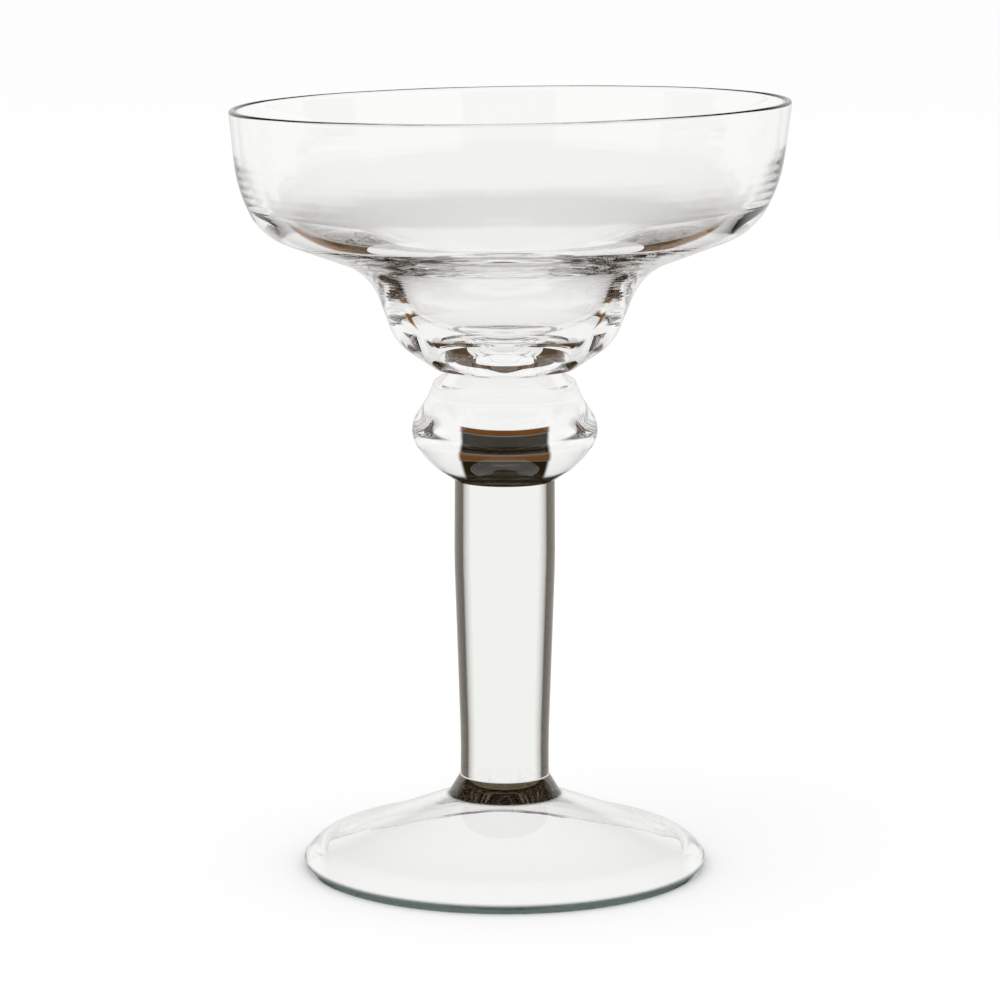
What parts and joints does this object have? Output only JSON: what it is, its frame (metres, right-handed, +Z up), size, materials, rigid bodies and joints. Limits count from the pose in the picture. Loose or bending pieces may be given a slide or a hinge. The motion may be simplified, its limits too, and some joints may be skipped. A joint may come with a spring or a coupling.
{
  "type": "margarita glass",
  "caption": "Hand-blown clear margarita glass: wide saucer bowl over a small cup, solid ball knop, drawn rod stem and hollow cone foot.",
  "frame": {"origin": "centre of the flat resting ring under the foot, on the table", "axes": "+Z up along the axis that every piece is turned on; the glass is round, so X and Y are alike"},
  "size_m": [0.1212, 0.1212, 0.1687],
  "materials": {
    "bowl_glass": "blown clear soda-lime glass, fire-polished rim, faint ripples",
    "knop_glass": "solid clear soda-lime glass, tooled hot",
    "stem_glass": "drawn clear soda-lime glass rod with a few small seeds",
    "foot_glass": "clear soda-lime glass, fire-polished edge, slightly blue-green in the thickness"
  },
  "bodies": {
    "root": {"bowl": "bowl_glass", "knop": "knop_glass", "stem": "stem_glass", "foot": "foot_glass"}
  },
  "joints": []
}
